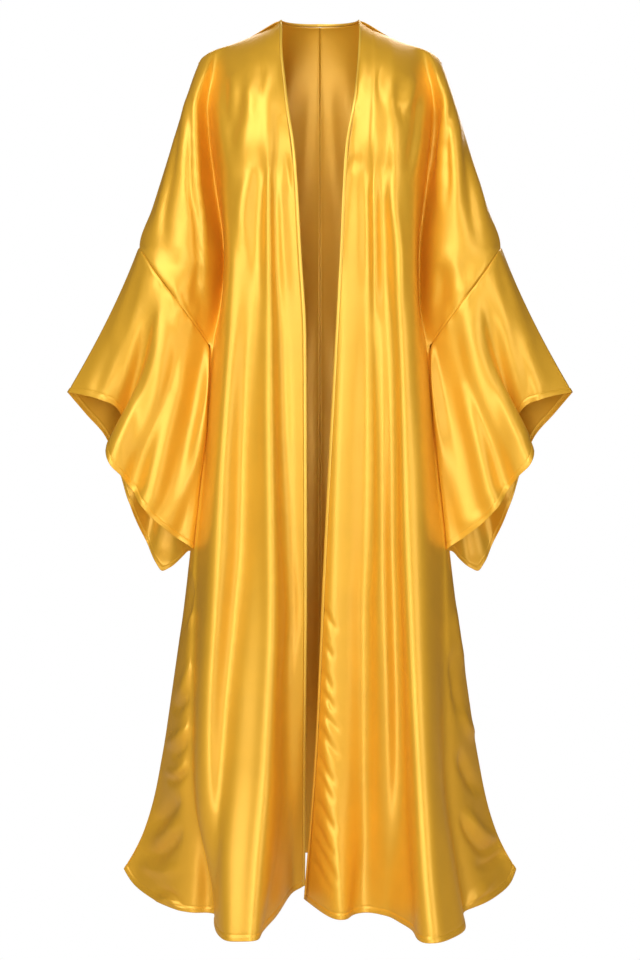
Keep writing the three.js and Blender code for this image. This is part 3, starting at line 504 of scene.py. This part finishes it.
class Panel:
    """A front or a back as a continuous surface of cells counted outward and drop counted down."""

    def __init__(self, name):
        self.face, self.side = name.split("_")
        self.side_sign = -1 if self.side == "left" else 1
        self.face_sign = -1 if self.face == "front" else 1
        self.out_sign = self.side_sign * self.face_sign
        self.fold_x = smooth_curve(ARM_FOLD["drop"], ARM_FOLD[self.side])
        self.edge_x = smooth_curve(EDGE["drop"], EDGE[self.side])
        self.edge_depth = smooth_curve(EDGE["drop"], EDGE[self.side + "_depth"])
        edge_chest = EDGE[self.side][4]
        spread = (SHOULDER["x"][-1] - NECK_HALF_WIDTH) / (border_x(YOKE_DROP) - edge_chest)
        self.top_place = lambda x: NECK_HALF_WIDTH + (x - edge_chest) * spread
        self.lines = []
        cells = []
        if self.face == "front":
            cells.append(0)
            self.lines.append(self.edge_inset)
        for number, row in enumerate(FOLDS[name]):
            cells.append(row[0])
            self.lines.append(self.fold_line(number, row))
        for row in SIDE_STRIP[self.side]:
            cells.append(row[1])
            self.lines.append(self.side_line(row))
        self.places = np.cumsum(cells)
        self.cells = int(self.places[-1])

    def fold_line(self, number, row):
        """Line of a fold from the shoulder to the hem, as x, depth and drop at an even drop."""
        _, xs, depths, hem = row
        x, depth = smooth_curve(LEVELS, xs), smooth_curve(LEVELS, depths)
        top_x = self.top_place(xs[0])
        top = (top_x, SEAM_GAP / 2, shoulder_drop(top_x))
        if self.face == "back" and number < 3:
            top = neck_top(number / 2)

        def at(drop):
            if drop >= YOKE_DROP:
                x_now = max(float(x(drop)), SEAM_GAP / 2) if self.face == "back" else float(x(drop))
                return x_now, depth(drop), hem_drop(drop, hem)
            share = drop / YOKE_DROP
            x_now = mix(top[0], xs[0], share)
            if self.face == "back":
                x_now = max(x_now, SEAM_GAP / 2)
            return x_now, mix(top[1], depths[0], shoulder_round(share)), mix(top[2], YOKE_DROP, share)

        return at

    def side_line(self, row):
        """Line between the arm fold and the border, over the arm and on down the side."""
        place, _, body_share, hem_share, hem = row

        def below(drop):
            x = mix(self.fold_x(drop), border_x(drop), place)
            if place == 1:
                return x, max(border_depth(drop), SEAM_GAP / 2)
            share = mix(body_share, hem_share, smooth_step(UNDERARM, LENGTH, drop))
            body = mix(border_depth(drop), arm_fold_depth(drop), share)
            to_body = smooth_step(ARMPIT_FRONT - ARMPIT_BLEND, UNDERARM, drop)
            return x, mix(arm_depth(x, drop, self.fold_x(drop)), body, to_body)

        chest = below(YOKE_DROP)
        top_x = self.top_place(chest[0])

        def at(drop):
            if drop >= YOKE_DROP:
                return *below(drop), hem_drop(drop, hem)
            share = drop / YOKE_DROP
            own = mix(shoulder_drop(top_x), YOKE_DROP, share)
            if place == 1:
                return border_x(own), SEAM_GAP / 2, own
            return mix(top_x, chest[0], share), max(chest[1] * shoulder_round(share), SEAM_GAP / 2), own

        return at

    def edge(self, drop):
        return np.array([self.edge_x(drop), max(self.edge_depth(drop), SEAM_GAP / 2),
                         hem_drop(drop, EDGE_HEM[self.side])], float)

    def edge_inset(self, drop):
        """Where the cloth starts beside the band of the free edge."""
        start = self.edge(drop)
        end = np.array(self.lines[1](drop), float)
        return start + (end - start) * (BAND_WIDTH + SEAM_GAP) / np.linalg.norm(end - start)

    def row(self, drop, cells):
        """Points of the panel at one drop, in millimetres and in the robe's own axes."""
        points = np.array([line(drop) for line in self.lines], float)
        curves = [smooth_curve(self.places, points[:, axis]) for axis in range(3)]
        place = np.stack([curve(cells) for curve in curves], axis=1)
        if self.face == "back" and drop < YOKE_DROP:
            near = cells <= NECK_CELLS
            exact = np.array([neck_top(c / NECK_CELLS) for c in cells[near]])
            tops = np.array([line(0) for line in self.lines], float)
            curves = [smooth_curve(self.places, tops[:, axis]) for axis in range(3)]
            base = np.stack([curve(cells[near]) for curve in curves], axis=1)
            place[near] += (exact - base) * (1 - drop / YOKE_DROP) ** 3
        return place * np.array([self.side_sign, self.face_sign, -1.0])

    def grid(self, drops, cells):
        return np.stack([self.row(drop, cells) for drop in drops])


def neck_station(turn, side):
    """Neck line of the back: turn 0 at the centre seam and 1 at the neck point."""
    angle = turn * math.pi / 2
    point = np.array([side * NECK_HALF_WIDTH * math.sin(angle),
                      max(NECK_BACK_DEPTH * math.cos(angle), SEAM_GAP / 2),
                      mix(NECK_BACK_RISE, 0, turn)])
    tangent = np.array([side * math.cos(angle), -math.sin(angle), 0])
    up = mix(NECK_LEAN["up_at_centre"], NECK_LEAN["up_at_side"], turn)
    normal = np.array([side * NECK_LEAN["out"] * turn, math.cos(angle), up])
    normal -= tangent * normal.dot(tangent)
    normal /= np.linalg.norm(normal)
    inward = np.cross(tangent, normal)
    if inward[2] > 0:
        inward = -inward
    return point, inward, normal


def neck_top(turn):
    """Where the cloth of the back starts below the neck band, as x, depth and drop."""
    point, inward, _ = neck_station(turn, 1)
    point = point + inward * (BAND_WIDTH + SEAM_GAP)
    return max(point[0], SEAM_GAP / 2), max(point[1], SEAM_GAP / 2), -point[2]


def between(stops, pieces):
    """The stops with every gap cut into that many pieces."""
    steps = [np.linspace(a, b, pieces, endpoint=False) for a, b in zip(stops[:-1], stops[1:])]
    return np.concatenate([*steps, [stops[-1]]])


def relaxed(grid, passes):
    """The grid with its points eased toward their neighbours across, less and less toward the top."""
    eased = grid.copy()
    share = smooth_step(0, YOKE_DROP, -grid[:, 1:-1, 2:])
    for _ in range(passes):
        middle = (eased[:, :-2] + 2 * eased[:, 1:-1] + eased[:, 2:]) / 4
        eased[:, 1:-1] += (middle - eased[:, 1:-1]) * share
    return eased


def stepped(stops, step):
    """The stops with every gap cut into even pieces of about that step."""
    steps = [np.linspace(a, b, max(2, round((b - a) / step)), endpoint=False)
             for a, b in zip(stops[:-1], stops[1:])]
    return np.concatenate([*steps, [stops[-1]]])


def grid_normals(grid, ring=False):
    """Unit normals of a grid of points, pointing to one side of it."""
    if ring:
        along = (np.roll(grid, -1, axis=1) - np.roll(grid, 1, axis=1)) / 2
    else:
        along = np.gradient(grid, axis=1)
    down = np.gradient(grid, axis=0)
    normal = np.cross(along, down)
    return normal / np.maximum(np.linalg.norm(normal, axis=2, keepdims=True), TINY)


def crease_heights(grid, creases, side_sign, run_out=False):
    """Height of the creases at every point of a grid, from its distance to them in x and drop."""
    flat = np.stack([grid[..., 0] * side_sign, -grid[..., 2]], axis=-1)
    total = np.zeros(grid.shape[:2])
    for xs, drops, drawn_width, drawn_height in creases:
        width, height = drawn_width * CREASE_SPREAD, drawn_height * CREASE_SOFTNESS
        steps = np.linalg.norm(np.diff(np.array([xs, drops], float), axis=1), axis=0)
        lengths = np.concatenate([[0], np.cumsum(steps)])
        along = np.linspace(0, lengths[-1], max(CREASE_POINTS, int(lengths[-1] / CREASE_STEP)))
        path = np.stack([smooth_curve(lengths, xs)(along), smooth_curve(lengths, drops)(along)], axis=1)
        reach = CREASE_REACH * width
        low, high = path.min(axis=0) - reach, path.max(axis=0) + reach
        near = np.all((flat > low) & (flat < high), axis=-1)
        gaps = np.linalg.norm(flat[near][:, None] - path[None], axis=2)
        nearest = gaps.argmin(axis=1)
        share = nearest / (len(path) - 1)
        ends = smooth_step(*CREASE_RISE, share) * (1 if run_out else 1 - smooth_step(*CREASE_FALL, share))
        total[near] += height * ends * np.exp(-(gaps.min(axis=1) / width) ** 2)
    return total


def grid_object(name, grid, ring=False, flip=False, ends=()):
    """A mesh object from a grid of points in millimetres, and faces that close its ends."""
    rows, columns = grid.shape[:2]
    ids = np.arange(rows * columns).reshape(rows, columns)
    if ring:
        ids = np.concatenate([ids, ids[:, :1]], axis=1)
    quads = np.stack([ids[:-1, :-1], ids[1:, :-1], ids[1:, 1:], ids[:-1, 1:]], axis=-1).reshape(-1, 4)
    if flip:
        quads = quads[:, ::-1]
    mesh = bpy.data.meshes.new(name)
    mesh.from_pydata((grid.reshape(-1, 3) * MM).tolist(), [], quads.tolist() + list(ends))
    mesh.polygons.foreach_set("use_smooth", [True] * len(mesh.polygons))
    obj = bpy.data.objects.new(name, mesh)
    bpy.context.scene.collection.objects.link(obj)
    return obj


def thicken(obj):
    """Give the cloth its thickness, inward from its outer face."""
    solidify = obj.modifiers.new("cloth", "SOLIDIFY")
    solidify.thickness = CLOTH * MM
    solidify.offset = -1
    return obj


def arm_down(x, drop, fold_x, side, face):
    """Unit way down the arm at a place on the panel, at a fixed share of the width across the arm."""
    share = (x - fold_x(drop)) / (sleeve_line_x(drop) - fold_x(drop))

    def place(at):
        across = mix(fold_x(at), sleeve_line_x(at), share)
        return np.array([side * across, face * arm_depth(across, at, fold_x(at)), -at], float)

    way = place(drop + 1) - place(drop - 1)
    return way / np.linalg.norm(way)


def sleeve_grid(front, back, rows, seam_drops):
    """Sleeve points from the seam ring down to the opening."""
    half = len(seam_drops) - 1
    front_edge = np.array([front.row(d, np.array([front.cells]))[0] for d in seam_drops])
    back_edge = np.array([back.row(d, np.array([back.cells]))[0] for d in seam_drops])
    ring = np.concatenate([front_edge, back_edge[-2:0:-1]])
    ring[0, 1] = ring[half, 1] = 0
    drops = np.concatenate([seam_drops, seam_drops[-2:0:-1]])
    steps = np.linalg.norm(np.diff(ring[:half + 1], axis=0), axis=1)
    lengths = np.concatenate([[0], np.cumsum(steps)])
    turns = lengths / lengths[-1]
    turns = np.concatenate([turns, 2 - turns[-2:0:-1]])
    side = front.side_sign
    end = np.stack([side * smooth_curve(SLEEVE_OPENING["turn"], SLEEVE_OPENING["x"])(turns),
                    smooth_curve(SLEEVE_OPENING["turn"], SLEEVE_OPENING["y"])(turns),
                    -smooth_curve(SLEEVE_OPENING["turn"], SLEEVE_OPENING["drop"])(turns)], axis=1)
    faces = np.concatenate([-np.ones(half + 1), np.ones(half - 1)])
    chord = end - ring
    reach = np.linalg.norm(chord, axis=1, keepdims=True)
    rounded = 1 - smooth_step(ARMPIT_FRONT - RING_BLEND, ARMPIT_FRONT, drops)[:, None]
    down = np.array([arm_down(abs(p[0]), d, front.fold_x, side, f) for p, d, f in zip(ring, drops, faces)])
    inner = (faces < 0) & (drops < UNDERARM)
    under = np.stack([side * np.where(inner, INNER_FLARE, UNDERARM_FLARE), np.where(inner, -INNER_LIFT, 0),
                      -np.ones(len(drops))], axis=1)
    start = mix(under * reach / np.linalg.norm(under, axis=1, keepdims=True), down * reach, rounded)
    finish = chord.copy()
    finish[:, 0] *= SLEEVE_END_FLARE
    along = np.roll(ring, -1, axis=0) - np.roll(ring, 1, axis=0)
    along /= np.linalg.norm(along, axis=1, keepdims=True)
    away = start - along * (start * along).sum(axis=1, keepdims=True)
    ring = ring + away * SLEEVE_GAP / np.linalg.norm(away, axis=1, keepdims=True)
    u = rows[:, None, None]
    r = 1 - u
    return ((1 + 2 * u) * r * r * ring + u * r * r * start
            + u * u * (3 - 2 * u) * end - u * u * r * finish)


def satin_material(name, color, roughness):
    """Golden satin: coloured gloss over a fine woven float, with a faint slackness of the cloth."""
    material = bpy.data.materials.new(name)
    material.use_nodes = True
    nodes, links = material.node_tree.nodes, material.node_tree.links
    shader = nodes["Principled BSDF"]
    shader.inputs["Roughness"].default_value = roughness
    for socket, value in SATIN_GLOSS.items():
        shader.inputs[socket].default_value = value
    place = nodes.new("ShaderNodeTexCoord")

    def noise(scale, detail, stretch=(1, 1, 1)):
        mapping = nodes.new("ShaderNodeMapping")
        mapping.inputs["Scale"].default_value = stretch
        texture = nodes.new("ShaderNodeTexNoise")
        texture.inputs["Scale"].default_value = scale
        texture.inputs["Detail"].default_value = detail
        links.new(place.outputs["Object"], mapping.inputs["Vector"])
        links.new(mapping.outputs["Vector"], texture.inputs["Vector"])
        return texture.outputs["Fac"]

    def bump(height, distance, strength, below=None):
        node = nodes.new("ShaderNodeBump")
        node.inputs["Distance"].default_value = distance
        node.inputs["Strength"].default_value = strength
        links.new(height, node.inputs["Height"])
        if below:
            links.new(below, node.inputs["Normal"])
        return node.outputs["Normal"]

    slack = bump(noise(*SLACK["noise"]), *SLACK["bump"])
    weave = bump(noise(*WEAVE["noise"]), *WEAVE["bump"], slack)
    links.new(weave, shader.inputs["Normal"])

    shade = nodes.new("ShaderNodeValToRGB")
    dark, bright = shade.color_ramp.elements
    dark.color = (*[c * SHADE["darker"] for c in color], 1)
    bright.color = (*color, 1)
    dark.position, bright.position = SHADE["from"], SHADE["to"]
    links.new(noise(*SHADE["noise"]), shade.inputs["Fac"])
    links.new(shade.outputs["Color"], shader.inputs["Base Color"])
    return material


def dress(obj, node, material):
    """Give a piece its material, hang it from the root, and hide the CAD part of the node that it dresses."""
    obj.data.materials.append(material)
    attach(obj, "root")
    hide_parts(node)


def seam_puckers():
    """Short creases on both sides of the sleeve seam, hanging almost straight down across it."""
    rows = []
    for place, length, height in zip(*SEAM_PUCKERS.values()):
        drop = mix(SLEEVE_SEAM_TOP, ARMPIT_FRONT, place)
        x = float(border_x(drop))
        aside = PUCKER_SLANT * length
        rows.append(([x - aside, x + aside], [drop - length, drop + length], PUCKER_WIDTH, height))
    return rows


def seam_dip(depth, distance):
    """How far the cloth dips at a distance from a seam."""
    return depth * np.exp(-(distance / SEAM_DIP_WIDTH) ** 2)


def hem_height(to_edge):
    """Step of the turned hem and the stitched groove above it, from the distance to the free edge."""
    width, soft = HEM["width"], HEM["step"]
    step = HEM["proud"] * (1 - smooth_step(width - soft, width + soft, to_edge))
    return step - HEM["groove"] * np.exp(-((to_edge - width) / HEM["groove_width"]) ** 2)


def chest_forms(grid, side_sign):
    """Height of the soft forms of the chest at every point."""
    total = np.zeros(grid.shape[:2])
    for x, drop, half_width, half_height, height in CHEST_FORMS:
        across = (grid[..., 0] * side_sign - x) / half_width
        down = (-grid[..., 2] - drop) / half_height
        total += height * np.exp(-across ** 2 - down ** 2)
    return total


def arm_valley(panel, grid):
    """Push of the valley beside the arm at every point, from its distance to the fold line."""
    drop = np.clip(-grid[..., 2], ARM_VALLEY["drop"][0], ARM_VALLEY["drop"][-1])
    across = grid[..., 0] * panel.side_sign - panel.fold_x(drop)
    width = np.where(across < 0, VALLEY_BODY_SIDE, VALLEY_ARM_SIDE)
    return smooth_curve(ARM_VALLEY["drop"], ARM_VALLEY["push"])(drop) * np.exp(-(across / width) ** 2)


def panel_grid(panel):
    """Points of a panel before its creases, with the valley beside the arm pushed back."""
    hem_rows = np.linspace(ROWS[-2], ROWS[-1], HEM_ROWS)[1:]
    drops = np.concatenate([stepped(ROWS[:-1], ROW_STEP), hem_rows])
    cells = between(np.arange(panel.cells + 1), CELL_PIECES)
    cells = np.concatenate([cells[:-1], panel.cells - np.array(LAST_CELL)])
    grid = relaxed(panel.grid(drops, cells), EASE_PASSES)
    grid[..., :2][np.abs(grid[..., :2]) < SEAM_GAP] = 0
    if panel.face == "front":
        grid[..., 1] += arm_valley(panel, grid)
    return grid


def panel_normals(panel, grid):
    """Unit normals out of the garment, which turn straight backward at the centre-back seam."""
    normals = grid_normals(grid) * panel.out_sign
    if panel.face == "back":
        normals[..., 0] *= smooth_step(0, CENTRE_TURN, np.abs(grid[..., 0]))
        normals /= np.linalg.norm(normals, axis=2, keepdims=True)
    return normals


def panel_heights(panel, name, grid):
    """Height of the creases, seams and hem at every point of a panel."""
    heights = crease_heights(grid, CREASES[name] + seam_puckers(), panel.side_sign)
    heights += crease_heights(grid, LONG_FOLDS[name], panel.side_sign, run_out=True)
    if panel.face == "front":
        heights += chest_forms(grid, panel.side_sign)
    to_border = np.linalg.norm(grid - grid[:, -1:], axis=2)
    to_centre = np.linalg.norm(grid - grid[:, :1], axis=2)
    fade_width = mix(ARM_FADE, BODY_FADE, smooth_step(SLEEVE_SEAM_TOP, UNDERARM, -grid[..., 2]))
    fade = smooth_step(0, fade_width, to_border)
    if panel.face == "back":
        fade *= smooth_step(0, CENTRE_FADE, to_centre)
    heights *= fade
    heights -= seam_dip(SEAM_DIP, to_border)
    if panel.face == "back":
        heights -= seam_dip(CENTRE_DIP, to_centre)
    return heights + hem_height(np.linalg.norm(grid - grid[-1:], axis=2))


def build_panel(name):
    """A front or a back as one sheet of cloth."""
    panel = Panel(name)
    grid = panel_grid(panel)
    grid = grid + panel_normals(panel, grid) * panel_heights(panel, name, grid)[..., None]
    cloth = thicken(grid_object(name + "_cloth", grid, flip=panel.out_sign > 0))
    dress(cloth, name, satin)
    return panel


def build_sleeve(side, front, back):
    """A lower sleeve as one tube of cloth below its seam."""
    seam_drops = between([d for d in ROWS if SLEEVE_SEAM_TOP <= d <= UNDERARM], SEAM_PIECES)
    grid = sleeve_grid(front, back, SLEEVE_ROWS, seam_drops)
    half, columns = len(seam_drops) - 1, np.arange(grid.shape[1])
    faces = [crease_heights(grid, CREASES[f"sleeve_{side}_{face}"], front.side_sign, run_out=True)
             for face in ("front", "back")]
    heights = np.where(columns <= half, *faces)
    heights += crease_heights(grid, seam_puckers(), front.side_sign)
    to_seam = np.linalg.norm(grid - grid[:1], axis=2)
    to_line = np.minimum(np.abs(columns - half), np.minimum(columns, len(columns) - columns))
    heights *= smooth_step(0, SLEEVE_SEAM_FADE, to_seam) * smooth_step(0, SLEEVE_LINE_FADE, to_line)
    heights -= seam_dip(SEAM_DIP, to_seam)
    heights += hem_height(np.linalg.norm(grid - grid[-1:], axis=2))
    grid = grid + grid_normals(grid, ring=True) * front.side_sign * heights[..., None]
    obj = thicken(grid_object(f"sleeve_{side}_cloth", grid, ring=True, flip=front.side_sign > 0))
    dress(obj, "sleeve_" + side, satin)


def build_band(node, stations):
    """A narrow folded band swept along its stations of point, way in and normal."""
    grid = np.array([[point + inward * a + normal * b for a, b in BAND_SECTION]
                     for point, inward, normal in stations])
    first_end = list(range(len(BAND_SECTION)))
    last_end = [grid.shape[0] * grid.shape[1] - 1 - i for i in first_end]
    band = grid_object(node + "_cloth", grid, ring=True, ends=[first_end, last_end])
    dress(band, node, edge_satin)


def front_edge_station(front, drop):
    """Point of a free front edge, the way from it into the cloth, and the normal out of it."""
    first, second = front.row(drop, np.array([0, EDGE_PROBE["cell"]]))
    low = front.row(max(drop - EDGE_PROBE["drop"], 0), np.array([0.0]))[0]
    high = front.row(drop + EDGE_PROBE["drop"], np.array([0.0]))[0]
    point = front.edge(drop) * np.array([front.side_sign, -1, -1])
    inward = first - point
    inward /= np.linalg.norm(inward)
    normal = np.cross(second - first, high - low) * -front.side_sign
    normal -= inward * normal.dot(inward)
    normal /= max(np.linalg.norm(normal), TINY)
    return point, inward, normal


satin = satin_material("golden_satin", (0.9, 0.5, 0.04), 0.43)
edge_satin = satin_material("golden_edge_satin", (0.94, 0.6, 0.08), 0.44)
panels = {name: build_panel(name) for name in FOLDS}
for side in ("left", "right"):
    build_sleeve(side, panels["front_" + side], panels["back_" + side])
for side in ("left", "right"):
    rows = between(ROWS, BAND_PIECES)
    build_band("front_band_" + side, [front_edge_station(panels["front_" + side], drop) for drop in rows])
turns = np.linspace(-1, 1, NECK_STATIONS)
build_band("neck_band", [neck_station(abs(turn), 1 if turn >= 0 else -1) for turn in turns])


def add_light(name, place, size, power, target):
    """A soft rectangular light that faces its target."""
    data = bpy.data.lights.new(name, "AREA")
    data.shape = "RECTANGLE"
    data.size, data.size_y = size
    data.energy = power
    light = bpy.data.objects.new(name, data)
    light.location = place
    x, y, z = np.array(target) - np.array(place)
    light.rotation_euler = (math.atan2(math.hypot(x, y), -z), 0, math.atan2(-x, y))
    bpy.context.scene.collection.objects.link(light)


def show_camera(tree, output, lit, shown):
    """One shader lights the robe, and the camera itself sees the other."""
    ray = tree.nodes.new("ShaderNodeLightPath")
    choose = tree.nodes.new("ShaderNodeMixShader")
    tree.links.new(ray.outputs["Is Camera Ray"], choose.inputs["Fac"])
    tree.links.new(lit, choose.inputs[1])
    tree.links.new(shown, choose.inputs[2])
    tree.links.new(choose.outputs["Shader"], tree.nodes[output].inputs["Surface"])


def add_floor():
    """A plain pale floor well below the hem."""
    mesh = bpy.data.meshes.new("floor")
    reach, level = FLOOR["reach"], FLOOR["level"]
    corners = [(-reach, -reach, level), (reach, -reach, level), (reach, reach, level), (-reach, reach, level)]
    mesh.from_pydata(corners, [], [(0, 1, 2, 3)])
    floor = bpy.data.objects.new("floor", mesh)
    bpy.context.scene.collection.objects.link(floor)
    material = bpy.data.materials.new("pale_floor")
    material.use_nodes = True
    tree = material.node_tree
    matt = tree.nodes["Principled BSDF"]
    matt.inputs["Base Color"].default_value = FLOOR["color"]
    matt.inputs["Roughness"].default_value = FLOOR["roughness"]
    glow = tree.nodes.new("ShaderNodeEmission")
    show_camera(tree, "Material Output", matt.outputs["BSDF"], glow.outputs["Emission"])
    mesh.materials.append(material)


def add_room():
    """A white room whose faint light on the robe is warm."""
    world = bpy.data.worlds.new("studio")
    world.use_nodes = True
    tree = world.node_tree
    room = tree.nodes["Background"]
    room.inputs["Color"].default_value = ROOM_COLOR
    room.inputs["Strength"].default_value = ROOM_LIGHT
    paper = tree.nodes.new("ShaderNodeBackground")
    paper.inputs["Color"].default_value = WHITE
    show_camera(tree, "World Output", room.outputs["Background"], paper.outputs["Background"])
    bpy.context.scene.world = world
    bpy.context.scene.view_settings.view_transform = "Standard"


def add_camera():
    """The camera where the photo was taken from, tilted down from eye level."""
    data = bpy.data.cameras.new("camera")
    data.lens = CAMERA["lens"]
    data.sensor_width = CAMERA["sensor"]
    camera = bpy.data.objects.new("camera", data)
    camera.location = CAMERA["place"]
    camera.rotation_euler = (math.pi / 2 - math.atan2(EYE_LEVEL_PX, FOCAL_PX), 0, 0)
    bpy.context.scene.collection.objects.link(camera)
    bpy.context.scene.camera = camera


add_camera()
add_floor()
add_room()
for light_row in LIGHTS:
    add_light(*light_row)
